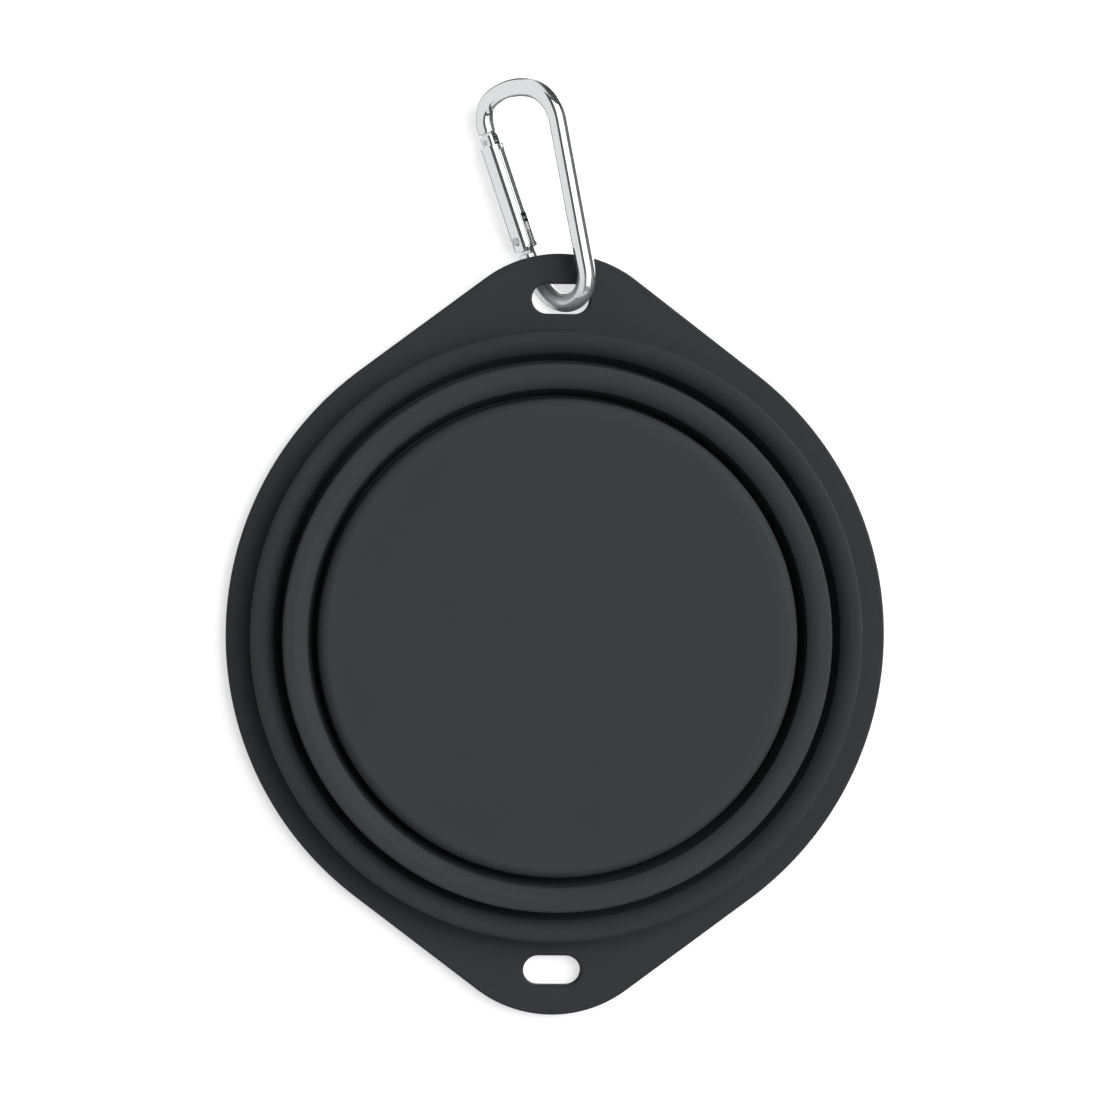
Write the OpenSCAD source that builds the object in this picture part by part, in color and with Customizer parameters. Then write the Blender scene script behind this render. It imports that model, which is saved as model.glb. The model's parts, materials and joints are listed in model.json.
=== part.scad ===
// Collapsible silicone bowl with a carabiner, folded flat, in millimetres.
// Mouth up, base on z = 0, carabiner towards +Y.

/* [Rim] */
// Diameter of the round rim
rim_d = 130.2; // [120:0.1:145]
// How far each lug's tip stands out past the round rim
lug_reach = 10.2; // [9.8:0.1:12]
// Radius of each lug's tip
lug_tip_r = 24.6; // [18:0.2:28]
// Thickness of the flat rim
flange_t = 2.8; // [2.2:0.1:3.2]
// Width of the rim outside the upper band
flange_ledge = 5.1; // [3.5:0.1:6]
// Length of each lug's slot
slot_len = 11.3; // [10.8:0.1:14]
// Width of each lug's slot
slot_w = 5.85; // [5.6:0.05:7]
// Silicone left between a slot and the lug's tip
slot_bar = 5.95; // [5.7:0.05:6.4]

/* [Walls and folds] */
// Height of the folded bowl
folded_h = 13; // [12.4:0.1:14.5]
// Height of the upper band's crest above the middle band's in the folded bowl
upper_rise = 3.7; // [3:0.1:4.2]
// Radial step from the upper to the middle band
upper_step = 6.4; // [6.2:0.1:7]
// Radial step from the middle band to the base
lower_step = 6.8; // [6.6:0.1:7.6]
// Thickness of the bands' walls
wall_t = 2.6; // [2:0.1:2.8]
// Width of the upper band's lower crest
upper_crest = 4.3; // [4.2:0.1:4.6]
// Width of the middle band's lower crest
middle_crest = 4.8; // [4.6:0.1:5]
// Thickness of the crests where the webs join
crest_t = 1.5; // [1.2:0.1:1.8]
// Thickness of the folding webs
web_t = 1.0; // [0.7:0.05:1.1]
// Thickness of the floor
floor_t = 2.6; // [2:0.1:3.5]

/* [Carabiner] */
// Diameter of the carabiner's rod
rod_d = 3.7; // [3.2:0.1:3.8]
// Radius of the lower bend's centreline
bend_r = 6.3; // [6.2:0.1:6.8]
// Length of the straight spine
spine_len = 29.1; // [28.2:0.1:31]
// Radius of the upper bend on the spine's side
top_r = 7.5; // [7.1:0.1:8]
// Radius of the crown between the two upper bends
crown_r = 16; // [15:0.5:18]
// Radius of the upper bend on the gate's side
nose_r = 5.5; // [5.1:0.1:5.9]
// Diameter of the gate
gate_d = 4.7; // [4.4:0.1:4.8]
// Diameter of the hinge rivet
rivet_d = 1.2; // [1:0.05:1.4]
// Diameter of the spring's wire
wire_d = 0.4; // [0.3:0.05:0.45]

/* [Carabiner's place] */
// Heading of the spine from +X
clip_heading = 78.3; // [74:0.1:86]
// Droop of the spine below level
clip_droop = 5.5; // [4:0.1:6]
// Roll of the carabiner about its spine
clip_roll = 135; // [130:0.5:138]

/* [Hidden] */
$fn = 96;
running_fit = 0.05;
fold_gap = 0.4;
web_inset = 0.1;

rim_r = rim_d / 2;
lug_tip_y = rim_r + lug_reach;
lug_y = lug_tip_y - lug_tip_r;
slot_y = lug_tip_y - slot_bar - slot_w / 2;
flank_angle = acos((rim_r - lug_tip_r) / lug_y);
flank_inset = 0.15;

upper_r = rim_r - flange_ledge;
middle_r = upper_r - upper_step;
base_r = middle_r - lower_step;
upper_toe_r = upper_r - upper_crest;
middle_toe_r = middle_r - middle_crest;

crest_rise = 0.5;
middle_z = crest_rise;
upper_z = middle_z + upper_rise;
middle_top = folded_h - 1.1;
base_top = middle_top - crest_rise;
flange_z = folded_h - flange_t;

outer_round = 0.7;
toe_across = 3.2;
toe_up = 1.35;
toe_bow = (pow(toe_across, 2) + pow(toe_up, 2)) / (2 * toe_up);
toe_angle = asin(toe_across / toe_bow);
lip_round = 0.9;
ledge_fillet = 0.4;
base_round = 2;
floor_fillet = 3;

rod_r = rod_d / 2;
gate_r = gate_d / 2;
arm_angle = 35;
gate_angle = 10.5;
top_turn = 78;
crown_turn = 34;
crown_end_angle = top_turn + crown_turn;
nose_turn = 180 + gate_angle - crown_end_angle;
tie_run = 0.2;
nose_run = 0.6;
elbow_r = 8;
rod_lap = 0.2;
bend_thin = 0.01;

function heading(angle) = [cos(angle), sin(angle)];
function left_of(line) = [-line[1], line[0]];

arm_dir = heading(arm_angle);
gate_dir = heading(gate_angle);
top_dir = heading(top_turn);
crown_dir = heading(crown_end_angle);
top_centre = [spine_len, top_r - bend_r];
top_end = top_centre - top_r * left_of(top_dir);
crown_centre = top_end + tie_run * top_dir + crown_r * left_of(top_dir);
crown_end = crown_centre - crown_r * left_of(crown_dir);
nose_centre = crown_end + tie_run * crown_dir + nose_r * left_of(crown_dir);
nose_start = nose_centre + nose_r * left_of(gate_dir);
nose_at = nose_start - nose_run * gate_dir;
nose_g = (nose_at[0] - bend_r - 0.8) / gate_dir[0];
rivet_at = nose_at - nose_g * gate_dir;

arm_start = bend_r * left_of(arm_dir);
to_rivet = rivet_at - arm_start;
corner_run = (to_rivet[0] * gate_dir[1] - to_rivet[1] * gate_dir[0]) / sin(gate_angle - arm_angle);
corner_at = arm_start + corner_run * arm_dir;
elbow_run = elbow_r * tan((arm_angle - gate_angle) / 2);
arm_end = corner_at - elbow_run * arm_dir;
elbow_end = corner_at + elbow_run * gate_dir;
elbow_centre = arm_end - elbow_r * left_of(arm_dir);

rod_end_g = -gate_r - 0.4;
stub_len = norm(rivet_at - elbow_end) + rod_end_g;
tongue_t = 1.4;
tongue_h = 2.8;
tongue_end_g = 1.6;
fork_w = tongue_t + 2 * running_fit;
gate_end_g = nose_g - 0.5;
shoulder_g = gate_end_g - 2.1;
pin_g = gate_end_g - 1.2;
pin_d = 1.1;
prong_d = 3.5;
prong_w = 3.2;
fork_floor_g = gate_end_g - 3.4;
hook_end_g = fork_floor_g + 0.4;
notch_w = 1.7;
notch_end_h = pin_d / 2 + running_fit;
nose_root_g = nose_g + 0.6;
nose_tongue_h = 1.4;
head_d = 1.7;
head_seat = gate_r - 0.25;
head_t = 0.45;
bore_r = 1.3;
bore_start_g = 1.3;
bore_end_g = 13.5;
window_g = 5.2;
slot_end_g = 2.5;
plunger_r = bore_r - running_fit;
plunger_len = 1.8;
stem_r = 0.5;
stem_len = 2.6;
spring_start_g = tongue_end_g + plunger_len;
coil_r = 0.95;
coil_turns = 8;
coil_steps = 24;
coil_sides = 10;

slot_cross = [-1.48, slot_y - 0.77, flange_z + flange_t / 2 - 0.16];
spine_dir = [cos(clip_heading) * cos(clip_droop), sin(clip_heading) * cos(clip_droop), -sin(clip_droop)];
clip_centre = slot_cross + bend_r * spine_dir;

// Points of a rounded corner about c from angle a0 to a1
function arc(c, r, a0, a1, n = 6) =
    [for (i = [0:n]) let (a = a0 + (a1 - a0) * i / n) c + r * [cos(a), sin(a)]];

// Points of a crest's inner side, which falls away in a shallow bow
function bowed_toe(r, z) = arc([r + toe_across, z + toe_bow], toe_bow, 270 - toe_angle, 270, 8);

// Bowl

// Outline of the rim with both lugs, as seen from above
module rim_outline() {
    flank = [sin(flank_angle), cos(flank_angle)];
    low = (rim_r - flank_inset) * flank;
    high = [0, lug_y] + (lug_tip_r - flank_inset) * flank;
    circle(r = rim_r);
    for (side = [-1, 1]) {
        translate([0, side * lug_y]) circle(r = lug_tip_r);
        polygon([[low[0], side * low[1]], [high[0], side * high[1]],
            [-high[0], side * high[1]], [-low[0], side * low[1]]]);
    }
}

// Slot with round ends
module slot_outline() {
    run = slot_len - slot_w;
    square([run, slot_w], center = true);
    for (side = [-1, 1]) translate([side * run / 2, 0]) circle(d = slot_w);
}

// Flat rim with its lugs, the upper wall band and its lower crest
module rim_flange() {
    color([0.22, 0.23, 0.24]) union() {
        translate([0, 0, flange_z]) linear_extrude(flange_t) difference() {
            rim_outline();
            circle(r = upper_r - wall_t / 2);
            for (side = [-1, 1]) translate([0, side * slot_y]) slot_outline();
        }
        rotate_extrude() polygon(concat(
            arc([upper_r - outer_round, upper_z + outer_round], outer_round, -90, 0),
            arc([upper_r + ledge_fillet, flange_z - ledge_fillet], ledge_fillet, 180, 90),
            [[upper_r + ledge_fillet, folded_h]],
            arc([upper_r - wall_t + lip_round, folded_h - lip_round], lip_round, 90, 180),
            [[upper_r - wall_t, upper_z + crest_t], [upper_toe_r, upper_z + crest_t]],
            bowed_toe(upper_toe_r, upper_z)));
    }
}

// Wall band with an inward crest below and an outward crest above
module fold_band(r, bottom, top, toe_r, lip_r) {
    rotate_extrude() polygon(concat(
        arc([r - outer_round, bottom + outer_round], outer_round, -90, 0),
        [[r, top - crest_t], [lip_r, top - crest_t]],
        arc([lip_r - lip_round, top - lip_round], lip_round, 0, 90),
        arc([r - wall_t + lip_round, top - lip_round], lip_round, 90, 180),
        [[r - wall_t, bottom + crest_t], [toe_r, bottom + crest_t]],
        bowed_toe(toe_r, bottom)));
}

module middle_band() {
    color([0.22, 0.23, 0.24])
        fold_band(middle_r, middle_z, middle_top, middle_toe_r, upper_toe_r - fold_gap);
}

// Thin sleeve from a lower crest up to the next band's upper crest
module fold_web(toe_r, bottom, top) {
    lip_r = toe_r - fold_gap;
    rotate_extrude() polygon([
        [toe_r + web_inset, bottom + crest_t],
        [toe_r + web_inset + web_t, bottom + crest_t],
        [lip_r, top - crest_t],
        [lip_r - web_t, top - crest_t]]);
}

module upper_fold_web() {
    color([0.25, 0.26, 0.27]) fold_web(upper_toe_r, upper_z, middle_top);
}

module lower_fold_web() {
    color([0.25, 0.26, 0.27]) fold_web(middle_toe_r, middle_z, base_top);
}

// Floor with its low wall
module base_cup() {
    lip_r = middle_toe_r - fold_gap;
    color([0.22, 0.23, 0.24]) rotate_extrude() polygon(concat(
        [[0, 0]],
        arc([base_r - base_round, base_round], base_round, -90, 0),
        [[base_r, base_top - crest_t], [lip_r, base_top - crest_t]],
        arc([lip_r - lip_round, base_top - lip_round], lip_round, 0, 90),
        arc([base_r - wall_t + lip_round, base_top - lip_round], lip_round, 90, 180),
        arc([base_r - wall_t - floor_fillet, floor_t + floor_fillet], floor_fillet, 0, -90),
        [[0, floor_t]]));
}

// Carabiner, drawn flat about the centre of its lower bend

// Sets the flat drawing in its place through the lug's slot
module place_clip() {
    translate(clip_centre) rotate([clip_roll, clip_droop, clip_heading]) children();
}

// Sets a piece along the gate, with x from the rivet to the gate's tip
module along_gate() {
    place_clip() translate([rivet_at[0], rivet_at[1], 0]) rotate([0, 0, gate_angle]) children();
}

// Straight rod from a point in a heading, lapping a little into the bends at its ends
module rod(from, heading, len) {
    translate([from[0], from[1], 0]) rotate([0, 0, heading]) translate([-rod_lap, 0, 0]) rotate([0, 90, 0])
        cylinder(r = rod_r, h = len + 2 * rod_lap);
}

// Bent rod about a centre, a hair thinner than the straight rods that lap over its ends
module bend(centre, r, start, sweep) {
    translate([centre[0], centre[1], 0]) rotate([0, 0, start]) rotate_extrude(angle = sweep)
        translate([r, 0]) circle(r = rod_r - bend_thin);
}

// Box between two corners of the flat drawing, w thick
module plate(g0, g1, h0, h1, w) {
    translate([g0, h0, -w / 2]) cube([g1 - g0, h1 - h0, w]);
}

// Bent rod with the hinge tongue and the hooked nose
module carabiner_frame() {
    color([0.8, 0.81, 0.82]) union() {
        place_clip() {
            rod([0, -bend_r], 0, spine_len);
            bend(top_centre, top_r, -90, top_turn);
            rod(top_end, top_turn, tie_run);
            bend(crown_centre, crown_r, top_turn - 90, crown_turn);
            rod(crown_end, crown_end_angle, tie_run);
            bend(nose_centre, nose_r, crown_end_angle - 90, nose_turn);
            rod(nose_start, 180 + gate_angle, nose_run - rod_lap);
            bend([0, 0], bend_r, 90 + arm_angle, 180 - arm_angle);
            rod(arm_start, arm_angle, corner_run - elbow_run);
            bend(elbow_centre, elbow_r, 90 + gate_angle, arm_angle - gate_angle);
            rod(elbow_end, gate_angle, stub_len - rod_lap);
        }
        along_gate() {
            difference() {
                plate(rod_end_g - 0.5, tongue_end_g, -tongue_h / 2, tongue_h / 2, tongue_t);
                cylinder(d = rivet_d + 2 * running_fit, h = rod_d, center = true);
            }
            difference() {
                plate(hook_end_g, nose_root_g, -nose_tongue_h, nose_tongue_h, tongue_t);
                plate(pin_g - notch_w / 2, pin_g + notch_w / 2, -rod_d, notch_end_h, rod_d);
            }
        }
    }
}

// Hollow gate arm, forked at the hinge and at the tip
module carabiner_gate() {
    color([0.82, 0.83, 0.84]) along_gate() difference() {
        union() {
            rotate([0, 90, 0]) cylinder(r = gate_r, h = shoulder_g);
            intersection() {
                translate([-gate_d, 0, 0]) rotate([0, 90, 0]) cylinder(r = gate_r, h = gate_d);
                cylinder(r = gate_r, h = 2 * gate_d, center = true);
            }
            intersection() {
                translate([shoulder_g, 0, 0]) rotate([0, 90, 0])
                    cylinder(d = prong_d, h = gate_end_g - shoulder_g);
                plate(shoulder_g, gate_end_g, -prong_d, prong_d, prong_w);
            }
        }
        translate([bore_start_g, 0, 0]) rotate([0, 90, 0])
            cylinder(r = bore_r, h = bore_end_g - bore_start_g);
        plate(-gate_d, slot_end_g, -gate_d, gate_d, fork_w);
        plate(0, window_g, -gate_d, 0, fork_w);
        plate(fork_floor_g, gate_end_g + 1, -gate_d, gate_d, fork_w);
        cylinder(d = rivet_d, h = 2 * gate_d, center = true);
        for (side = [-1, 1]) translate([0, 0, side * (head_seat + gate_r)])
            cylinder(d = head_d, h = 2 * gate_r, center = true);
        translate([pin_g, 0, 0]) cylinder(d = pin_d, h = 2 * gate_d, center = true);
    }
}

// Hinge rivet with a flat head on each side
module gate_rivet() {
    color([0.7, 0.71, 0.72]) along_gate() {
        cylinder(d = rivet_d, h = 2 * head_seat, center = true);
        for (side = [-1, 1]) translate([0, 0, side * (head_seat + head_t / 2)])
            cylinder(d = head_d, h = head_t, center = true);
    }
}

// Cross pin in the gate's fork
module latch_pin() {
    color([0.7, 0.71, 0.72]) along_gate() translate([pin_g, 0, 0])
        cylinder(d = pin_d, h = prong_w, center = true);
}

// Follower between the spring and the hinge tongue
module spring_plunger() {
    color([0.6, 0.61, 0.62]) along_gate() translate([tongue_end_g, 0, 0]) rotate([0, 90, 0]) {
        cylinder(r = plunger_r, h = plunger_len);
        cylinder(r = stem_r, h = plunger_len + stem_len);
    }
}

// Coil spring between the follower and the end of the bore
module gate_spring() {
    rings = coil_turns * coil_steps;
    start = spring_start_g + wire_d / 2;
    run = bore_end_g - spring_start_g - wire_d;
    points = [for (i = [0:rings], k = [0:coil_sides - 1])
        let (turn = 360 * i / coil_steps, side = 360 * k / coil_sides, r = coil_r + wire_d / 2 * cos(side))
        [start + run * i / rings + wire_d / 2 * sin(side), r * cos(turn), r * sin(turn)]];
    skin = [for (i = [0:rings - 1], k = [0:coil_sides - 1])
        let (a = i * coil_sides + k, b = i * coil_sides + (k + 1) % coil_sides)
        [a, b, b + coil_sides, a + coil_sides]];
    first = [for (k = [coil_sides - 1:-1:0]) k];
    last = [for (k = [0:coil_sides - 1]) rings * coil_sides + k];
    line = [for (i = [0:rings]) let (turn = 360 * i / coil_steps)
        [start + run * i / rings, coil_r * cos(turn), coil_r * sin(turn)]];
    nearest = min([for (i = [0:rings]) for (j = [i + coil_steps / 2:1:rings]) norm(line[i] - line[j])]);
    echo(str("Least gap between the spring's turns: ", nearest - wire_d, " mm"));
    color([0.5, 0.51, 0.52]) along_gate() polyhedron(points, concat(skin, [first, last]));
}

rim_flange();
upper_fold_web();
middle_band();
lower_fold_web();
base_cup();
carabiner_frame();
carabiner_gate();
gate_rivet();
latch_pin();
gate_spring();
spring_plunger();
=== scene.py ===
# Collapsible silicone bowl with a carabiner, folded flat and seen from below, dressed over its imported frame.
import json
import math

import bmesh
import bpy
from mathutils import Matrix, Vector


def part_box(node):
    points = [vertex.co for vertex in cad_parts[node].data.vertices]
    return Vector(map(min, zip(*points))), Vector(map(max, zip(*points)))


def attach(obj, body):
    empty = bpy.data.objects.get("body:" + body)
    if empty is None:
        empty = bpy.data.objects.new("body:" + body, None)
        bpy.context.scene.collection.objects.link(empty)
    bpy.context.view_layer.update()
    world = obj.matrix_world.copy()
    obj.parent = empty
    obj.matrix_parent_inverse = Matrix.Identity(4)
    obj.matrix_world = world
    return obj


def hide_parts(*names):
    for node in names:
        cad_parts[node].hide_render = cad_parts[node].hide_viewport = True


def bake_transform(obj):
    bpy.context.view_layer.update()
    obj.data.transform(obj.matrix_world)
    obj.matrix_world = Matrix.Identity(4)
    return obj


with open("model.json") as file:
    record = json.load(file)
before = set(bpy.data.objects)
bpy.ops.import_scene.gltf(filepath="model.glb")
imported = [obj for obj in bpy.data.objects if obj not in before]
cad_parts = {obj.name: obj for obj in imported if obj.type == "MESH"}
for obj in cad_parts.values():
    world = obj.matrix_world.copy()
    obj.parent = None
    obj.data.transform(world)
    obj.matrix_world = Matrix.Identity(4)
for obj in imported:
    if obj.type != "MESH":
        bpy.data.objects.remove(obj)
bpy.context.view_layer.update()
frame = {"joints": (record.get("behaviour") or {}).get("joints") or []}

# Base cup: the bowl's floor and low wall, the innermost part of one compression-moulded silicone piece.
# It stands flat on the table, and the lower fold hangs from the outside of its lip.
MM = 0.001
TURN_STEPS = 192
BEVEL_STEPS = 5
WELD = 0.001 * MM

base_low, base_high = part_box("base_cup")
base_top = base_high.z
base_lip_r = base_high.x
base_lip_out = 1.6 * MM
base_r = base_lip_r - base_lip_out
wall_t = 2.6 * MM
crest_t = 1.5 * MM
lip_round = 0.9 * MM
base_round = 2.0 * MM
floor_top = 2.6 * MM
floor_fillet = 3.0 * MM


def work_on(piece):
    """Leaves this one object selected and active."""
    bpy.ops.object.select_all(action="DESELECT")
    piece.select_set(True)
    bpy.context.view_layer.objects.active = piece


def turned(name, corners):
    """Turns a profile about z: a circle at the first corner is extruded and scaled from corner to corner."""
    radius, height = corners[0]
    bpy.ops.object.select_all(action="DESELECT")
    bpy.ops.mesh.primitive_circle_add(vertices=TURN_STEPS, radius=radius, location=(0, 0, height))
    bpy.ops.object.transform_apply()
    piece = bpy.context.object
    piece.name = name
    bpy.ops.object.mode_set(mode="EDIT")
    bpy.ops.mesh.select_all(action="SELECT")
    for next_radius, next_height in corners[1:]:
        bpy.ops.mesh.extrude_edges_move(TRANSFORM_OT_translate={"value": (0, 0, next_height - height)})
        widen = next_radius / radius
        bpy.ops.transform.resize(value=(widen, widen, 1), center_override=(0, 0, 0))
        radius, height = next_radius, next_height
    bpy.ops.mesh.select_all(action="SELECT")
    bpy.ops.mesh.remove_doubles(threshold=WELD)
    bpy.ops.object.mode_set(mode="OBJECT")
    return piece


def close_ends(piece):
    """Fills the open rings of a turned piece and points its faces outwards."""
    work_on(piece)
    bpy.ops.object.mode_set(mode="EDIT")
    bpy.ops.mesh.select_all(action="SELECT")
    bpy.ops.mesh.fill_holes(sides=0)
    bpy.ops.mesh.select_all(action="SELECT")
    bpy.ops.mesh.normals_make_consistent(inside=False)
    bpy.ops.object.mode_set(mode="OBJECT")


def select_where(piece, kind, wanted):
    """Opens a piece for editing and selects its edges or faces that pass the test."""
    work_on(piece)
    bpy.ops.object.mode_set(mode="EDIT")
    bpy.ops.mesh.select_mode(type=kind)
    bpy.ops.mesh.select_all(action="DESELECT")
    shape = bmesh.from_edit_mesh(piece.data)
    for part in (shape.edges if kind == "EDGE" else shape.faces):
        part.select_set(wanted(part))
    bmesh.update_edit_mesh(piece.data)


def leave_edit():
    """Goes back from editing edges or faces to object mode."""
    bpy.ops.mesh.select_mode(type="VERT")
    bpy.ops.object.mode_set(mode="OBJECT")


def bevel_edges(piece, wanted, rounding, steps=BEVEL_STEPS):
    """Rounds the edges that pass the test."""
    select_where(piece, "EDGE", wanted)
    bpy.ops.mesh.bevel(offset=rounding, segments=steps, profile=0.5, affect="EDGES")
    leave_edit()


def ring_at(radius, height):
    """Test for the edges of the ring at this radius and height."""
    near = 0.01 * MM

    def wanted(edge):
        return all(abs(v.co.xy.length - radius) < near and abs(v.co.z - height) < near for v in edge.verts)
    return wanted


def smooth(piece, degrees=35):
    """Shades the piece smooth below this angle, with normals weighted so that its flats stay flat."""
    work_on(piece)
    bpy.ops.object.shade_smooth_by_angle(angle=math.radians(degrees))
    weighted = piece.modifiers.new("keep_flats_flat", "WEIGHTED_NORMAL")
    weighted.keep_sharp = True
    bpy.ops.object.modifier_apply(modifier=weighted.name)


def linear(hex_colour):
    """Turns an sRGB hex colour into the linear colour that the shaders take."""
    parts = [int(hex_colour[i:i + 2], 16) / 255 for i in (1, 3, 5)]
    return [c / 12.92 if c <= 0.04045 else ((c + 0.055) / 1.055) ** 2.4 for c in parts] + [1]


def add_node(tree, kind, inputs, **settings):
    """Adds a node with its settings; each input is a plain value or another node's output."""
    node = tree.nodes.new(kind)
    for key, value in settings.items():
        setattr(node, key, value)
    for key, value in inputs.items():
        if isinstance(value, bpy.types.NodeSocket):
            tree.links.new(value, node.inputs[key])
        else:
            node.inputs[key].default_value = value
    return node


def noise(tree, place, size_mm, detail):
    """Adds a noise with features of about this size and gives its level."""
    inputs = {"Vector": place, "Scale": 1 / (size_mm * MM), "Detail": detail}
    return add_node(tree, "ShaderNodeTexNoise", inputs).outputs["Fac"]


def remap(tree, value, span=(0.0, 1.0), levels=(0.0, 1.0)):
    """Takes a value from a span to two levels, held at its ends, and gives the result."""
    inputs = {"Value": value}
    inputs["From Min"], inputs["From Max"] = span
    inputs["To Min"], inputs["To Max"] = levels
    return add_node(tree, "ShaderNodeMapRange", inputs).outputs["Result"]


def two_tone(tree, factor, first, second):
    """Mixes two hex colours and gives the colour."""
    mixed = add_node(tree, "ShaderNodeMix", {"Factor": factor}, data_type="RGBA")
    mixed.inputs["A"].default_value = linear(first)
    mixed.inputs["B"].default_value = linear(second)
    return mixed.outputs["Result"]


def new_material(name):
    """Starts a node material with an empty tree and gives its tree, its output and its object coordinates."""
    material = bpy.data.materials.new(name)
    material.use_nodes = True
    tree = material.node_tree
    tree.nodes.clear()
    output = tree.nodes.new("ShaderNodeOutputMaterial")
    place = tree.nodes.new("ShaderNodeTexCoord").outputs["Object"]
    return material, tree, output, place


# Charcoal silicone from a fine-blasted mould: matte and a little cool, with a soft wide sheen on the rounded
# crests, a barely cloudy tone from the mixing, and a satin grain. The real grain is near 0.1 mm; 0.35 mm
# shows.
cloud_mm = 22
grain_mm = 0.35
grain_depth = 0.02 * MM
silicone_rough = (0.64, 0.76)


def moulded_silicone(name, dark_tone, light_tone):
    """Makes the moulding's silicone in a tone that drifts between two colours."""
    material, tree, output, place = new_material(name)
    clouds = noise(tree, place, cloud_mm, 3.0)
    grain = noise(tree, place, grain_mm, 2.0)
    satin = add_node(tree, "ShaderNodeBump", {"Height": grain, "Strength": 0.12, "Distance": grain_depth})
    skin = add_node(tree, "ShaderNodeBsdfPrincipled", {
        "Base Color": two_tone(tree, clouds, dark_tone, light_tone),
        "Roughness": remap(tree, grain, levels=silicone_rough),
        "Normal": satin.outputs["Normal"],
        "IOR": 1.41,
        "Specular IOR Level": 0.35,
    })
    tree.links.new(skin.outputs["BSDF"], output.inputs["Surface"])
    return material


silicone = moulded_silicone("moulded_silicone", "#323638", "#373B3C")


def dress(piece, material, node):
    """Gives a piece its material and slot, and hides its CAD node."""
    piece.data.materials.clear()
    piece.data.materials.append(material)
    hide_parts(node)


base_cup = turned("base_cup_skin", [
    (base_r - 2 * base_round, base_low.z),
    (base_r, base_low.z),
    (base_r, base_top - crest_t),
    (base_lip_r, base_top - crest_t),
    (base_lip_r, base_top),
    (base_r - wall_t, base_top),
    (base_r - wall_t, floor_top),
    (base_r - wall_t - 2 * floor_fillet, floor_top),
])
close_ends(base_cup)
bevel_edges(base_cup, ring_at(base_r, base_low.z), base_round)
bevel_edges(base_cup, ring_at(base_lip_r, base_top), lip_round)
bevel_edges(base_cup, ring_at(base_r - wall_t, base_top), lip_round)
bevel_edges(base_cup, ring_at(base_r - wall_t, floor_top), floor_fillet)
smooth(base_cup)
dress(base_cup, silicone, "base_cup")
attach(base_cup, "base")

# Lower fold: the thin silicone web that joins the base's lip to the middle band's lower crest.
# It is moulded with them and stands as a steep sleeve in the folded bowl; the real web rolls out as the bowl
# opens, and this sleeve is made in its folded shape only.
FOLD_RINGS = 14


def fold_sleeve(name, node):
    """Turns a thin sleeve between the foot and the top of its CAD solid, in rings.

    Both its ends are tucked a little into the bands, so that they show no seam.
    """
    low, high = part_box(node)
    web_t = 1.0 * MM
    lean = 1.5 * MM
    tuck = 0.12 * MM
    foot_r = high.x
    rise = high.z - low.z
    shares = [i / FOLD_RINGS for i in range(FOLD_RINGS + 1)]
    wall = [(foot_r - lean * s, low.z + rise * s) for s in shares]
    outer = [(foot_r, low.z - tuck), *wall, (foot_r - lean, high.z + tuck)]
    inner = [(r - web_t, z) for r, z in reversed(outer)]
    sleeve = turned(name, outer + inner + outer[:1])
    close_ends(sleeve)
    smooth(sleeve)
    dress(sleeve, silicone, node)
    return sleeve, Vector((0, 0, high.z)), Vector((0, 0, low.z))


lower_fold, lower_fold_top, lower_fold_foot = fold_sleeve("lower_fold_skin", "lower_fold_web")
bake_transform(lower_fold)

# Middle band: the ring of wall between the two folds, moulded with them in the same silicone.
# Its lower crest turns inwards to carry the lower fold, and its upper crest turns outwards to the upper fold.
TOE_STEPS = 14

middle_low, middle_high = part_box("middle_band")
middle_lip_r = middle_high.x
middle_lip_out = 1.7 * MM
middle_r = middle_lip_r - middle_lip_out
middle_toe_in = 4.8 * MM
middle_toe_r = middle_r - middle_toe_in
toe_across = 3.2 * MM
toe_up = 1.35 * MM
outer_round = 0.7 * MM


def bowed_toe(toe_r, low):
    """Profile points of a crest's inner side, which falls away in a shallow bow."""
    bow = (toe_across ** 2 + toe_up ** 2) / (2 * toe_up)
    lean = math.asin(toe_across / bow)
    angles = [lean * (1 - i / TOE_STEPS) for i in range(TOE_STEPS + 1)]
    return [(toe_r + toe_across - bow * math.sin(a), low + bow * (1 - math.cos(a))) for a in angles]


middle_band = turned("middle_band_skin", [
    (middle_r, middle_low.z),
    (middle_r, middle_high.z - crest_t),
    (middle_lip_r, middle_high.z - crest_t),
    (middle_lip_r, middle_high.z),
    (middle_r - wall_t, middle_high.z),
    (middle_r - wall_t, middle_low.z + crest_t),
    (middle_toe_r, middle_low.z + crest_t),
    *bowed_toe(middle_toe_r, middle_low.z),
    (middle_r, middle_low.z),
])
close_ends(middle_band)
bevel_edges(middle_band, ring_at(middle_r, middle_low.z), outer_round)
bevel_edges(middle_band, ring_at(middle_lip_r, middle_high.z), lip_round)
bevel_edges(middle_band, ring_at(middle_r - wall_t, middle_high.z), lip_round)
smooth(middle_band)
dress(middle_band, silicone, "middle_band")
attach(middle_band, "middle")

# Upper fold: the web between the middle band's lip and the upper band's lower crest.
# It is the same thin moulded silicone as the lower fold, one size wider.
upper_fold, upper_fold_top, upper_fold_foot = fold_sleeve("upper_fold_skin", "upper_fold_web")
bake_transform(upper_fold)

# Rim: the flat flange with its two slotted lugs and the upper band of wall, the outermost part of the
# moulding. The flange is a plate with softened edges, and a small fillet leads from it into the band. Its
# silicone is the bands' silicone in a darker copy: painted shade, for the shade the flange lies in beside
# the band's wall.
RIM_STEPS = 72
LUG_STEPS = 40
SLOT_STEPS = 16
SQUARE_ANGLE = math.radians(60)

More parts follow.
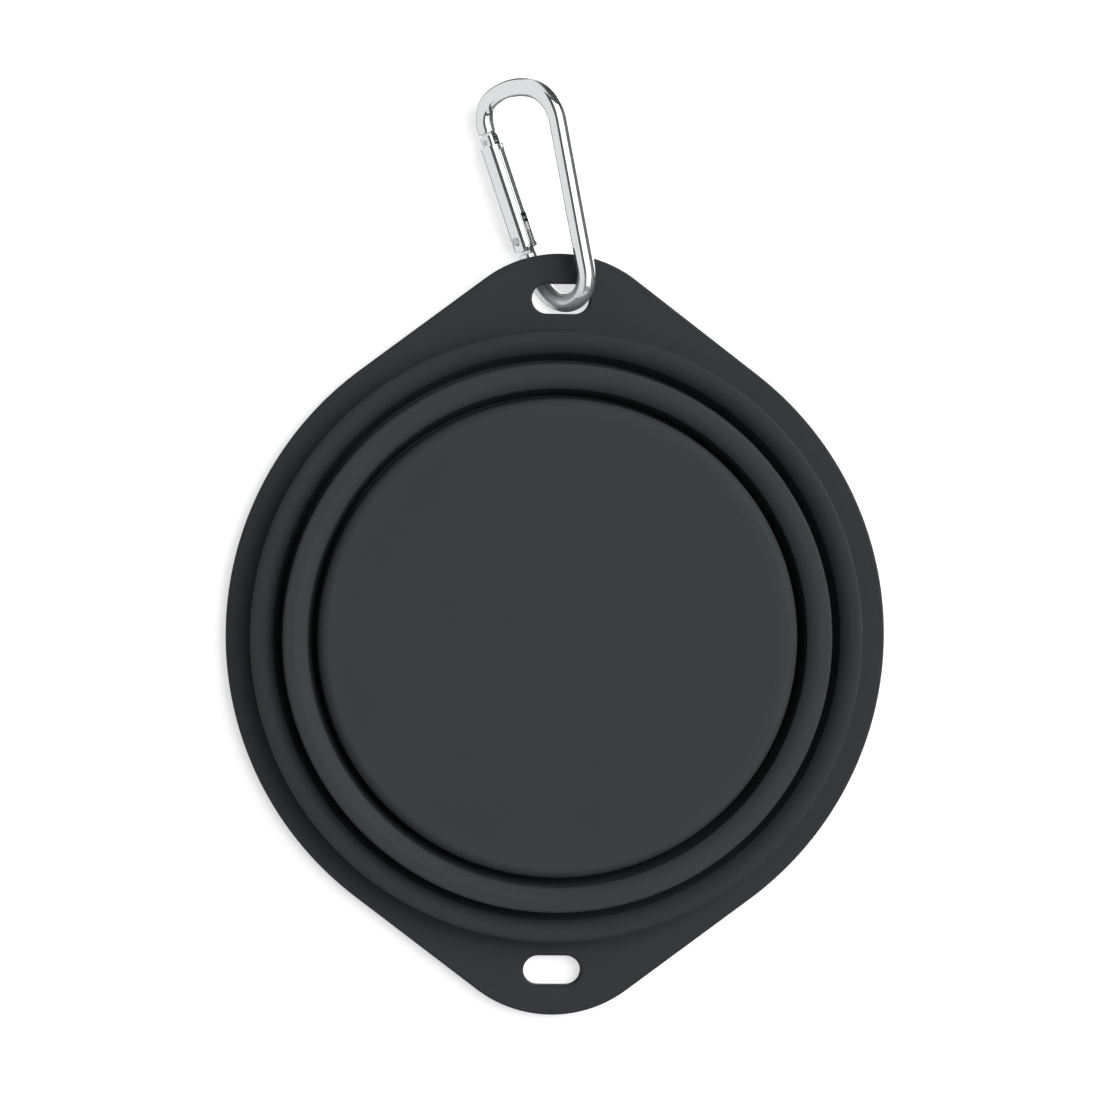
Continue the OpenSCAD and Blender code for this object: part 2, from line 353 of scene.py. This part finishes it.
rim_low, rim_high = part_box("rim_flange")
rim_r = rim_high.x
lug_tip_y = rim_high.y
flange_t = 2.8 * MM
flange_z = rim_high.z - flange_t
lug_tip_r = 24.6 * MM
lug_y = lug_tip_y - lug_tip_r
slot_w = 5.85 * MM
slot_length = 11.3 * MM
slot_run = slot_length - slot_w
slot_margin = 5.95 * MM
slot_y = lug_tip_y - slot_margin - slot_w / 2
ledge = 5.1 * MM
upper_r = rim_r - ledge
upper_toe_in = 4.3 * MM
upper_toe_r = upper_r - upper_toe_in
ledge_fillet = 0.4 * MM
seam_out = 1.2 * MM
seam_r = upper_r + ledge_fillet + seam_out
seam_near = 0.05 * MM
seam_weld = 0.005 * MM
flange_round = 0.6 * MM


def arc(centre, radius, start, end, steps):
    """Points of an arc in the plan, with its angles in degrees from +x."""
    angles = [math.radians(start + (end - start) * i / steps) for i in range(steps + 1)]
    return [Vector(centre) + radius * Vector((math.cos(a), math.sin(a), 0)) for a in angles]


def plate(name, loops, thickness):
    """Fills an outline with its holes, each a circle of vertices moved to its points, and extrudes it up."""
    made = []
    bpy.ops.object.select_all(action="DESELECT")
    for points in loops:
        bpy.ops.mesh.primitive_circle_add(vertices=len(points))
        loop = bpy.context.object
        for vertex, point in zip(loop.data.vertices, points):
            vertex.co = point
        made.append(loop)
    for loop in made:
        loop.select_set(True)
    bpy.ops.object.join()
    piece = bpy.context.object
    piece.name = name
    bpy.ops.object.mode_set(mode="EDIT")
    bpy.ops.mesh.select_all(action="SELECT")
    bpy.ops.mesh.fill(use_beauty=True)
    bpy.ops.mesh.select_all(action="SELECT")
    bpy.ops.mesh.extrude_region_move(TRANSFORM_OT_translate={"value": (0, 0, thickness)})
    bpy.ops.mesh.select_all(action="SELECT")
    bpy.ops.mesh.normals_make_consistent(inside=False)
    bpy.ops.object.mode_set(mode="OBJECT")
    return piece


flank = math.degrees(math.asin((rim_r - lug_tip_r) / lug_y))
outline = []
for turn in (0, 180):
    lug = Vector((0, lug_y if turn == 0 else -lug_y, 0))
    outline += arc((0, 0, 0), rim_r, turn - flank, turn + flank, RIM_STEPS)
    outline += arc(lug, lug_tip_r, turn + flank, turn + 180 - flank, LUG_STEPS)
slots = []
for side in (1, -1):
    right = Vector((slot_run / 2, side * slot_y, 0))
    left = Vector((-slot_run / 2, side * slot_y, 0))
    right_end = arc(right, slot_w / 2, -90, 90, SLOT_STEPS)
    left_end = arc(left, slot_w / 2, 90, 270, SLOT_STEPS)
    slots.append(right_end + left_end)
seam = [seam_r * Vector((math.sin(a), math.cos(a), 0)) for a in
        (2 * math.pi * i / TURN_STEPS for i in range(TURN_STEPS))]
lift = Vector((0, 0, flange_z))
rim = plate("rim_skin", [[p + lift for p in loop] for loop in (outline, *slots, seam)], flange_t)


def is_square(edge):
    """Test for a square edge between two faces."""
    return len(edge.link_faces) == 2 and edge.calc_face_angle() > SQUARE_ANGLE


def is_on_seam(part):
    """Test for the edges and faces on the seam between the flange and the band."""
    return all(abs(v.co.xy.length - seam_r) < seam_near for v in part.verts)


def is_flange_edge(edge):
    """Test for the flange's outer and slot edges, which are square, and not for the seam with the band."""
    return not is_on_seam(edge) and is_square(edge)


bevel_edges(rim, is_flange_edge, flange_round)
select_where(rim, "FACE", is_on_seam)
bpy.ops.mesh.delete(type="ONLY_FACE")
leave_edit()

upper_band = turned("upper_band", [
    (seam_r, flange_z),
    (upper_r, flange_z),
    (upper_r, rim_low.z),
    *reversed(bowed_toe(upper_toe_r, rim_low.z)),
    (upper_toe_r, rim_low.z + crest_t),
    (upper_r - wall_t, rim_low.z + crest_t),
    (upper_r - wall_t, rim_high.z),
    (seam_r, rim_high.z),
])
bevel_edges(upper_band, ring_at(upper_r, flange_z), ledge_fillet)
bevel_edges(upper_band, ring_at(upper_r, rim_low.z), outer_round)
bevel_edges(upper_band, ring_at(upper_r - wall_t, rim_high.z), lip_round)
work_on(rim)
upper_band.select_set(True)
bpy.ops.object.join()
bpy.ops.object.mode_set(mode="EDIT")
bpy.ops.mesh.select_all(action="SELECT")
bpy.ops.mesh.remove_doubles(threshold=seam_weld)
bpy.ops.mesh.normals_make_consistent(inside=False)
bpy.ops.object.mode_set(mode="OBJECT")
smooth(rim)
# Painted shade: the same silicone in darker tones, standing in for the shade on the flange beside the band's
# wall.
rim_silicone_painted_shade = moulded_silicone("moulded_silicone_rim_painted_shade", "#2B2F31", "#2F3335")
dress(rim, rim_silicone_painted_shade, "rim_flange")
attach(rim, "rim")

# Carabiner frame: 3.7 mm aluminium rod, bent cold and tumble-polished, hung through the upper lug's slot.
# One end is flattened to a tongue for the hinge, and the other is milled to a hooked nose for the latch.
joints = {joint["name"]: joint for joint in frame["joints"]}
swivel = joints["carabiner_swivel"]
hinge = joints["gate_hinge"]
gate_line = Vector(joints["plunger_slide"]["axis"]).normalized()
across = Vector(swivel["axis"]).normalized()
ROD_SIDES = 40
ELBOW_STEPS = 8
HOOP_STEPS = 40
TOP_STEPS = 30
CROWN_STEPS = 14
NOSE_STEPS = 28

rod_r = 1.83 * MM
bend_r = 6.3 * MM
spine_len = 29.1 * MM
top_r = 7.5 * MM
crown_r = 16 * MM
nose_r = 5.5 * MM
tie_run = 0.2 * MM
nose_run = 0.6 * MM
elbow_r = 8 * MM
arm_angle = math.radians(35)
gate_angle = math.radians(10.5)
top_turn = math.radians(78)
crown_turn = math.radians(34)
nose_turn = math.pi + gate_angle - top_turn - crown_turn


def heading(angle):
    """Unit vector in the plan at this angle."""
    return Vector((math.cos(angle), math.sin(angle), 0))


def left_of(line):
    """Unit vector in the plan to the left of this one."""
    return Vector((-line.y, line.x, 0))


arm_line = heading(arm_angle)
gate_in_plan = heading(gate_angle)
top_line = heading(top_turn)
crown_line = heading(top_turn + crown_turn)
top_centre = Vector((spine_len, top_r - bend_r, 0))
top_end = top_centre - top_r * left_of(top_line) + tie_run * top_line
crown_centre = top_end + crown_r * left_of(top_line)
crown_end = crown_centre - crown_r * left_of(crown_line) + tie_run * crown_line
nose_centre = crown_end + nose_r * left_of(crown_line)
nose_at = nose_centre + nose_r * left_of(gate_in_plan) - nose_run * gate_in_plan
rivet_past_bend = 0.8 * MM
nose_g = (nose_at.x - bend_r - rivet_past_bend) / gate_in_plan.x
rivet_at = nose_at - nose_g * gate_in_plan

gate_r = 2.35 * MM
hinge_gap = 0.4 * MM
rod_end_g = -gate_r - hinge_gap
nose_gap = 0.5 * MM
gate_end_g = nose_g - nose_gap
pin_inset = 1.2 * MM
pin_g = gate_end_g - pin_inset
fork_depth = 3.4 * MM
fork_floor_g = gate_end_g - fork_depth
tongue_t = 1.4 * MM


def set_out(x_axis, origin):
    """Matrix that sets a flat drawing in the carabiner's plane, with its x along this axis."""
    x_axis = x_axis.normalized()
    turn = Matrix((x_axis, across.cross(x_axis), across)).transposed().to_4x4()
    return Matrix.Translation(origin) @ turn


gate_place = set_out(gate_line, Vector(hinge["pos_m"]))
spine_line = Matrix.Rotation(-gate_angle, 3, across) @ gate_line
clip_place = set_out(spine_line, Vector(swivel["pos_m"]))
gate_on_clip = Matrix.Translation(rivet_at) @ Matrix.Rotation(gate_angle, 4, "Z")


def put(piece, matrix):
    """Moves a piece from its flat drawing to its place and leaves the place in its mesh."""
    work_on(piece)
    piece.matrix_world = matrix
    bpy.ops.object.transform_apply(location=True, rotation=True, scale=True)


arm_start = bend_r * left_of(arm_line)
to_rivet = rivet_at - arm_start
off_gate_line = to_rivet.x * gate_in_plan.y - to_rivet.y * gate_in_plan.x
corner_run = off_gate_line / math.sin(gate_angle - arm_angle)
elbow_run = elbow_r * math.tan((arm_angle - gate_angle) / 2)
arm_end = arm_start + (corner_run - elbow_run) * arm_line
elbow_end = arm_start + corner_run * arm_line + elbow_run * gate_in_plan
elbow_centre = arm_end - elbow_r * left_of(arm_line)
rod_start = rivet_at + rod_end_g * gate_in_plan

bpy.ops.object.select_all(action="DESELECT")
bpy.ops.mesh.primitive_circle_add(vertices=ROD_SIDES, radius=rod_r, location=rod_start,
                                  rotation=(math.pi / 2, 0, gate_angle + math.pi / 2))
bpy.ops.object.transform_apply()
carabiner = bpy.context.object
carabiner.name = "carabiner_rod"


def run_on(step):
    """Extrudes the rod's open end straight on."""
    bpy.ops.mesh.extrude_edges_move(TRANSFORM_OT_translate={"value": step})


def bend_on(centre, angle, steps):
    """Bends the rod's open end anticlockwise round a centre in the plan."""
    bpy.ops.mesh.spin(steps=steps, angle=angle, center=centre, axis=(0, 0, -1), use_auto_merge=False)


bpy.ops.object.mode_set(mode="EDIT")
bpy.ops.mesh.select_all(action="SELECT")
run_on(elbow_end - rod_start)
bend_on(elbow_centre, arm_angle - gate_angle, ELBOW_STEPS)
run_on(arm_start - arm_end)
bend_on((0, 0, 0), math.pi - arm_angle, HOOP_STEPS)
run_on((spine_len, 0, 0))
bend_on(top_centre, top_turn, TOP_STEPS)
run_on(tie_run * top_line)
bend_on(crown_centre, crown_turn, CROWN_STEPS)
run_on(tie_run * crown_line)
bend_on(nose_centre, nose_turn, NOSE_STEPS)
run_on(-nose_run * gate_in_plan)
bpy.ops.object.mode_set(mode="OBJECT")
close_ends(carabiner)
rod_end_round = 0.3 * MM
bevel_edges(carabiner, is_square, rod_end_round, steps=3)

tongue_half = 1.4 * MM
tongue_end_g = 1.6 * MM
tongue_root = 0.5 * MM
tongue_start_g = rod_end_g - tongue_root
notch_half = 0.85 * MM
notch_end_h = 0.6 * MM
hook_gap = 0.4 * MM
hook_end_g = fork_floor_g + hook_gap
hook_root = 0.6 * MM
nose_root_g = nose_g + hook_root
milled_round = 0.12 * MM
sink = Vector((0, 0, -tongue_t / 2))
tongue = [
    (tongue_start_g, -tongue_half),
    (tongue_end_g, -tongue_half),
    (tongue_end_g, tongue_half),
    (tongue_start_g, tongue_half),
]
nose_hook = [
    (hook_end_g, -tongue_half),
    (pin_g - notch_half, -tongue_half),
    (pin_g - notch_half, notch_end_h),
    (pin_g + notch_half, notch_end_h),
    (pin_g + notch_half, -tongue_half),
    (nose_root_g, -tongue_half),
    (nose_root_g, tongue_half),
    (hook_end_g, tongue_half),
]
milled = []
for name, drawing in (("hinge_tongue", tongue), ("nose_hook", nose_hook)):
    flat = plate(name, [[Vector((g, h, 0)) + sink for g, h in drawing]], tongue_t)
    bevel_edges(flat, is_square, milled_round, steps=2)
    put(flat, gate_on_clip)
    milled.append(flat)
work_on(carabiner)
for flat in milled:
    flat.select_set(True)
bpy.ops.object.join()
put(carabiner, clip_place)
smooth(carabiner)

# Polished aluminium: bright, slightly cool reflections, with the fine haze that tumbling leaves. It is dull
# where it rubs in the slot. The real tumbling marks are near 0.05 mm; 0.25 mm shows.
aluminium, tree, output, place = new_material("polished_aluminium")
haze_mm = 0.25
ripple_mm = 4
ripple_depth = 0.02 * MM
polish_rough = (0.05, 0.10)
rubbed_rough = 0.6
rubbed_share = (0.9, 0.12)
rubbed_y = (slot_y - slot_w / 2, slot_y + slot_w)
haze = noise(tree, place, haze_mm, 3.0)
ripple = noise(tree, place, ripple_mm, 1.0)
bright = two_tone(tree, haze, "#DCDEE0", "#ECEDEE")
wave = add_node(tree, "ShaderNodeBump", {"Height": ripple, "Strength": 0.15, "Distance": ripple_depth})
polish = add_node(tree, "ShaderNodeBsdfPrincipled", {
    "Base Color": bright,
    "Metallic": 1.0,
    "Roughness": remap(tree, haze, levels=polish_rough),
    "Normal": wave.outputs["Normal"],
})
bloom = add_node(tree, "ShaderNodeBsdfPrincipled", {
    "Base Color": bright,
    "Metallic": 1.0,
    "Roughness": rubbed_rough,
})
along_y = add_node(tree, "ShaderNodeSeparateXYZ", {"Vector": place}).outputs["Y"]
metal = add_node(tree, "ShaderNodeMixShader", {
    0: remap(tree, along_y, rubbed_y, rubbed_share),
    1: polish.outputs["BSDF"],
    2: bloom.outputs["BSDF"],
})
tree.links.new(metal.outputs["Shader"], output.inputs["Surface"])
dress(carabiner, aluminium, "carabiner_frame")
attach(carabiner, "carabiner")

# Gate arm: turned aluminium rod, bored for its spring, slotted at the hinge and forked at the tip.
# The frame's tongue stands in the hinge slot, and a window in the inner side lets the gate swing in.
GATE_SIDES = 64
GATE_END_STEPS = 32
PIN_SIDES = 40

prong_len = 2.1 * MM
prong_root = 1 * MM
shoulder_g = gate_end_g - prong_len
prong_r = 1.75 * MM
prong_w = 3.2 * MM
fork_w = 1.5 * MM
bore_r = 1.3 * MM
bore_start_g = 1.3 * MM
bore_end_g = 13.5 * MM
window_g = 5.2 * MM
slot_end_g = 2.5 * MM
rivet_r = 0.6 * MM
head_r = 0.85 * MM
seat_depth = 0.25 * MM
head_seat = gate_r - seat_depth
pin_r = 0.55 * MM
beyond = 2 * gate_r
skim = 0.01 * MM
gate_edge = 0.1 * MM


def rod_along(start_g, end_g, radius):
    """Adds a round bar along the gate's line."""
    bpy.ops.object.select_all(action="DESELECT")
    bpy.ops.mesh.primitive_cylinder_add(vertices=GATE_SIDES, radius=radius, depth=end_g - start_g,
                                        location=((start_g + end_g) / 2, 0, 0), rotation=(0, math.pi / 2, 0))
    bpy.ops.object.transform_apply()
    return bpy.context.object


def pin_across(g, radius, low, high):
    """Adds a round bar across the gate, square to the carabiner's plane."""
    bpy.ops.object.select_all(action="DESELECT")
    bpy.ops.mesh.primitive_cylinder_add(vertices=PIN_SIDES, radius=radius, depth=high - low,
                                        location=(g, 0, (low + high) / 2))
    bpy.ops.object.transform_apply()
    return bpy.context.object


def block(g0, g1, h0, h1, width):
    """Adds a box between two corners of the gate's drawing, centred across it."""
    bpy.ops.object.select_all(action="DESELECT")
    bpy.ops.mesh.primitive_cube_add(size=1, location=((g0 + g1) / 2, (h0 + h1) / 2, 0),
                                    scale=(g1 - g0, h1 - h0, width))
    bpy.ops.object.transform_apply()
    return bpy.context.object


def combine(piece, tool, operation):
    """Cuts, keeps or adds the tool's solid with a Boolean modifier, and takes the tool away."""
    work_on(piece)
    modifier = piece.modifiers.new("shape", "BOOLEAN")
    modifier.operation = operation
    modifier.solver = "EXACT"
    modifier.object = tool
    bpy.ops.object.modifier_apply(modifier=modifier.name)
    bpy.data.objects.remove(tool)


gate = rod_along(-gate_r, shoulder_g, gate_r - skim)
gate.name = "gate_arm"
far_corners = [Vector((beyond + shoulder_g, h, 0)) for h in (-gate_r, gate_r)]
rounding = arc((0, 0, 0), gate_r, 90, 270, GATE_END_STEPS) + far_corners
rounded_end = plate("rounded_end", [[p - Vector((0, 0, beyond)) for p in rounding]], 2 * beyond)
combine(gate, rounded_end, "INTERSECT")
prongs = rod_along(shoulder_g - prong_root, gate_end_g, prong_r)
combine(prongs, block(shoulder_g - beyond, gate_end_g + beyond, -beyond, beyond, prong_w), "INTERSECT")
combine(gate, prongs, "UNION")
combine(gate, block(-beyond, slot_end_g, -beyond, beyond, fork_w), "DIFFERENCE")
combine(gate, rod_along(bore_start_g, bore_end_g, bore_r), "DIFFERENCE")
combine(gate, block(0, window_g, -beyond, 0, fork_w), "DIFFERENCE")
combine(gate, block(fork_floor_g, gate_end_g + beyond, -beyond, beyond, fork_w), "DIFFERENCE")
combine(gate, pin_across(0, rivet_r, -beyond, beyond), "DIFFERENCE")
combine(gate, pin_across(0, head_r, head_seat, beyond), "DIFFERENCE")
combine(gate, pin_across(0, head_r, -beyond, -head_seat), "DIFFERENCE")
combine(gate, pin_across(pin_g, pin_r, -beyond, beyond), "DIFFERENCE")
work_on(gate)
eased = gate.modifiers.new("eased_edges", "BEVEL")
eased.width = gate_edge
eased.segments = 2
eased.limit_method = "ANGLE"
eased.angle_limit = math.radians(40)
bpy.ops.object.modifier_apply(modifier=eased.name)
put(gate, gate_place)
smooth(gate, degrees=30)
dress(gate, aluminium, "carabiner_gate")
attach(gate, "gate")

# Gate spring and its plunger: a coil of 0.4 mm spring steel in the gate's bore, which pushes a turned steel
# plunger onto the corner of the frame's tongue, and so closes the gate. Both begin behind the gate's window.
WIRE_SIDES = 14

wire_r = 0.2 * MM
coil_r = 0.95 * MM
coil_turns = 8
coil_steps = 40
plunger_gap = 0.05 * MM
plunger_r = bore_r - plunger_gap
plunger_round = 0.1 * MM
plunger_len = 1.8 * MM
stem_r = 0.5 * MM
stem_len = 2.6 * MM
spring_start_g = tongue_end_g + plunger_len

bpy.ops.object.select_all(action="DESELECT")
bpy.ops.mesh.primitive_circle_add(vertices=WIRE_SIDES, radius=wire_r,
                                  location=(spring_start_g + wire_r, coil_r, 0))
bpy.ops.object.transform_apply()
spring = bpy.context.object
spring.name = "spring_coil"
coil = spring.modifiers.new("coil", "SCREW")
coil.axis = "X"
coil.iterations = coil_turns
coil.steps = coil_steps
coil.render_steps = coil_steps
coil.screw_offset = (bore_end_g - spring_start_g - 2 * wire_r) / coil_turns
bpy.ops.object.modifier_apply(modifier=coil.name)
close_ends(spring)
put(spring, gate_place)
smooth(spring, degrees=50)

plunger = turned("plunger", [
    (stem_r / 2, tongue_end_g),
    (plunger_r, tongue_end_g),
    (plunger_r, spring_start_g),
    (stem_r, spring_start_g),
    (stem_r, spring_start_g + stem_len),
    (stem_r / 2, spring_start_g + stem_len),
])
close_ends(plunger)
bevel_edges(plunger, is_square, plunger_round, steps=2)
stand_along = Matrix.Rotation(math.pi / 2, 4, "Y")
put(plunger, gate_place @ stand_along)
smooth(plunger)

# Drawn steel: a plain grey metal, duller than the polished rod, with a fine grain. The real grain is near
# 0.03 mm; 0.15 mm shows.
steel, tree, output, place = new_material("drawn_steel")
steel_grain_mm = 0.15
steel_rough = (0.2, 0.34)
steel_grain = noise(tree, place, steel_grain_mm, 2.0)
pin_metal = add_node(tree, "ShaderNodeBsdfPrincipled", {
    "Base Color": two_tone(tree, steel_grain, "#A9ABAD", "#C2C4C6"),
    "Metallic": 1.0,
    "Roughness": remap(tree, steel_grain, levels=steel_rough),
})
tree.links.new(pin_metal.outputs["BSDF"], output.inputs["Surface"])
dress(spring, steel, "gate_spring")
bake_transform(spring)
dress(plunger, steel, "spring_plunger")
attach(plunger, "plunger")

# Hinge rivet and latch pin: drawn steel, set across the gate's two forks. The rivet's two flat heads are
# closed into shallow seats; the pin is pressed in flush and drops into the nose's hook.
head_t = 0.45 * MM
pin_round = 0.12 * MM
rivet = turned("rivet", [
    (head_r / 2, -head_seat - head_t),
    (head_r, -head_seat - head_t),
    (head_r, -head_seat),
    (rivet_r, -head_seat),
    (rivet_r, head_seat),
    (head_r, head_seat),
    (head_r, head_seat + head_t),
    (head_r / 2, head_seat + head_t),
])
pin = turned("latch_pin_bar", [
    (pin_r / 2, -prong_w / 2),
    (pin_r, -prong_w / 2),
    (pin_r, prong_w / 2),
    (pin_r / 2, prong_w / 2),
])
for piece, g, node in ((rivet, 0, "gate_rivet"), (pin, pin_g, "latch_pin")):
    close_ends(piece)
    bevel_edges(piece, is_square, pin_round, steps=3)
    put(piece, gate_place @ Matrix.Translation((g, 0, 0)))
    smooth(piece)
    dress(piece, steel, node)
    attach(piece, "gate")

# Stage: a pale floor under the bowl, seen only from above, and a white sheet behind it, seen only from below.
# The bowl was photographed lying on its mouth, and the sheet is that table. A second sheet goes on from its
# edge and drops to clear the carabiner. It shows only while the carabiner is at rest, and so never hides it.
PAPER = "#CCCCCC"
FLOOR_GLOW = 0.4
SHEET_GLOW = 0.62
BACKDROP = 1.0
GLOW_SPAN = (0.3, 1.5)
DROP_SLOPE = 3

stage_size = 8.0
touch = 0.15 * MM
sheet_z = rim_high.z + touch
clip_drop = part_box("carabiner_gate")[1].z - rim_high.z
drop_start_y = slot_y - slot_w
drop_run = DROP_SLOPE * clip_drop
drop_end_y = drop_start_y + drop_run


def maths(tree, operation, *values):
    """Adds a mathematical node and gives its result."""
    return add_node(tree, "ShaderNodeMath", dict(enumerate(values)), operation=operation).outputs["Value"]


def stage_sheet(name, place, turn, glow, unseen, slack):
    """Adds a large sheet that shows from one side, takes shadows and keeps no light from the object.

    Its glow grows away from the bowl, so that it meets the backdrop without a line. It is clear where it has
    moved from its place at rest by more than the slack.
    """
    bpy.ops.object.select_all(action="DESELECT")
    bpy.ops.mesh.primitive_plane_add(size=stage_size, location=place, rotation=(turn, 0, 0))
    bpy.ops.object.transform_apply()
    sheet = bpy.context.object
    sheet.name = name
    sheet.visible_diffuse = False
    sheet.visible_glossy = False
    sheet.visible_shadow = False
    material, tree, output, spot = new_material(name + "_paper")
    paper = add_node(tree, "ShaderNodeBsdfDiffuse", {"Color": linear(PAPER)})
    away = add_node(tree, "ShaderNodeVectorMath", {0: spot}, operation="LENGTH").outputs["Value"]
    light = add_node(tree, "ShaderNodeEmission", {"Strength": remap(tree, away, GLOW_SPAN, (glow, BACKDROP))})
    lit = add_node(tree, "ShaderNodeAddShader", {0: paper.outputs[0], 1: light.outputs[0]})
    clear = add_node(tree, "ShaderNodeBsdfTransparent", {})
    surface = tree.nodes.new("ShaderNodeNewGeometry").outputs
    climb = add_node(tree, "ShaderNodeSeparateXYZ", {"Vector": surface["Incoming"]}).outputs["Z"]
    ends = {0: spot, 1: surface["Position"]}
    moved = add_node(tree, "ShaderNodeVectorMath", ends, operation="DISTANCE").outputs["Value"]
    behind = maths(tree, unseen, climb, 0.0)
    strayed = maths(tree, "GREATER_THAN", moved, slack)
    gone = maths(tree, "MAXIMUM", behind, strayed)
    shown = add_node(tree, "ShaderNodeMixShader", {0: gone, 1: lit.outputs[0], 2: clear.outputs[0]})
    tree.links.new(shown.outputs[0], output.inputs["Surface"])
    sheet.data.materials.append(material)
    return sheet


stage_sheet("floor", (0, 0, 0), 0, FLOOR_GLOW, "LESS_THAN", stage_size)
white_sheet = stage_sheet("white_sheet", (0, drop_start_y - stage_size / 2, sheet_z), math.pi,
                          SHEET_GLOW, "GREATER_THAN", stage_size)
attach(white_sheet, "rim")
clip_sheet = stage_sheet("clip_sheet", (0, drop_end_y + stage_size / 2, sheet_z + clip_drop), math.pi,
                         SHEET_GLOW, "GREATER_THAN", touch)
select_where(clip_sheet, "EDGE", lambda edge: all(v.co.y < drop_end_y + touch for v in edge.verts))
bpy.ops.mesh.extrude_edges_move(TRANSFORM_OT_translate={"value": (0, -drop_run, -clip_drop)})
bpy.ops.mesh.select_all(action="SELECT")
bpy.ops.mesh.normals_make_consistent(inside=True)
leave_edit()
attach(clip_sheet, "carabiner")

# Light: one large soft lamp below the bowl and one above it, both to the photograph's right, a weaker one
# above on the other side, and an even fill. What shines sees a pale studio with a white softbox in a black
# frame and a dark horizon on the lamps' side, and the camera sees a plain white backdrop.
FILL = 0.20
LAMP_WIDTH = 1.75
LAMP_LENGTH = 2.5
BOX_NEAR = math.radians(-1)
BOX_FAR = math.radians(61)
BOX_MIDDLE_Y = -0.035
BOX_HALF_LENGTH = 0.665
BOX_LEVEL = 2.0
BOX_EDGE = 0.02
FRAME_WIDTH = 0.50
FAR_WIDTH = 0.30
END_WIDTH = 0.14
FRAME_LEVEL = 0.06
FRAME_EDGE = 0.03
WALL_LEVEL = 0.9
HORIZON_Y = (0.45, 0.8)
HORIZON_HALF = (0.16, 0.6)
HORIZON_EDGE = 0.04
LAMP_SIDE_EDGE = 0.1

world = bpy.data.worlds.new("studio")
bpy.context.scene.world = world
world.use_nodes = True
tree = world.node_tree
tree.nodes.clear()


def background(colour, strength):
    """Adds a background shader and gives its output."""
    inputs = {"Color": colour, "Strength": strength}
    return add_node(tree, "ShaderNodeBackground", inputs).outputs["Background"]


def choose(factor, first, second):
    """Adds a mix of two shaders and gives its output."""
    return add_node(tree, "ShaderNodeMixShader", {0: factor, 1: first, 2: second}).outputs["Shader"]


toward = tree.nodes.new("ShaderNodeTexCoord").outputs["Generated"]
along = add_node(tree, "ShaderNodeSeparateXYZ", {"Vector": toward}).outputs
lamp_side = maths(tree, "MULTIPLY", along["X"], -1.0)
steepness = maths(tree, "ABSOLUTE", along["Z"])
swing = maths(tree, "ARCTAN2", lamp_side, steepness)
off_near = maths(tree, "SUBTRACT", BOX_NEAR, swing)
past_far = maths(tree, "SUBTRACT", swing, BOX_FAR)
off_far = maths(tree, "MULTIPLY", past_far, FRAME_WIDTH / FAR_WIDTH)
from_middle = maths(tree, "ABSOLUTE", maths(tree, "SUBTRACT", along["Y"], BOX_MIDDLE_Y))
past_end = maths(tree, "SUBTRACT", from_middle, BOX_HALF_LENGTH)
off_end = maths(tree, "MULTIPLY", past_end, FRAME_WIDTH / END_WIDTH)
off_box = maths(tree, "MAXIMUM", maths(tree, "MAXIMUM", off_near, off_far), off_end)
in_frame = remap(tree, off_box, (-BOX_EDGE, BOX_EDGE), (BOX_LEVEL, FRAME_LEVEL))
in_room = remap(tree, off_box, (FRAME_WIDTH - FRAME_EDGE, FRAME_WIDTH + FRAME_EDGE), (0.0, WALL_LEVEL))
horizon_half = remap(tree, along["Y"], HORIZON_Y, HORIZON_HALF)
off_horizon = maths(tree, "SUBTRACT", steepness, horizon_half)
clear_of_horizon = remap(tree, off_horizon, (-HORIZON_EDGE, HORIZON_EDGE))
past_lamp_side = remap(tree, along["X"], (-LAMP_SIDE_EDGE, LAMP_SIDE_EDGE))
walls = maths(tree, "MULTIPLY", in_room, maths(tree, "MAXIMUM", clear_of_horizon, past_lamp_side))
studio = maths(tree, "ADD", in_frame, walls)

path = tree.nodes.new("ShaderNodeLightPath").outputs
white = linear("#FFFFFF")
lit = choose(path["Is Glossy Ray"], background(white, FILL), background(studio, 1.0))
seen = choose(path["Is Camera Ray"], lit, background(white, BACKDROP))
world_output = tree.nodes.new("ShaderNodeOutputWorld")
tree.links.new(seen, world_output.inputs["Surface"])

lamps = (
    ("lower_lamp", (-1.45, 0.75, -1.9), 71),
    ("upper_lamp", (-1.45, 0.75, 1.9), 71),
    ("far_lamp", (1.8, -1.2, 1.2), 30),
)
for name, spot, watts in lamps:
    bpy.ops.object.light_add(type="AREA", location=spot)
    lamp = bpy.context.object
    lamp.name = name
    lamp.data.shape = "RECTANGLE"
    lamp.data.size = LAMP_WIDTH
    lamp.data.size_y = LAMP_LENGTH
    lamp.data.energy = watts
    lamp.visible_camera = False
    lamp.visible_glossy = False
    lamp.rotation_euler = (-Vector(spot)).to_track_quat("-Z", "Y").to_euler()

# Camera: below the bowl and looking up at its underside, a little off its middle, as the photograph does.
camera_at = Vector((32.6, 45.3, -689.8)) * MM
look_at = Vector((1.455, 16.966, 10.2)) * MM
picture_up = Vector((0.0133, 0.99991, 0))

view_line = (look_at - camera_at).normalized()
view_right = view_line.cross(picture_up).normalized()
view_up = view_right.cross(view_line)
bpy.ops.object.camera_add(location=camera_at)
camera = bpy.context.object
view_turn = Matrix((view_right, view_up, -view_line)).transposed().to_4x4()
camera.matrix_world = Matrix.Translation(camera_at) @ view_turn
camera.data.sensor_width = 36
camera.data.lens = 116.45
camera.data.clip_start = 0.01
bpy.context.scene.camera = camera
bpy.context.scene.view_settings.view_transform = "Standard"
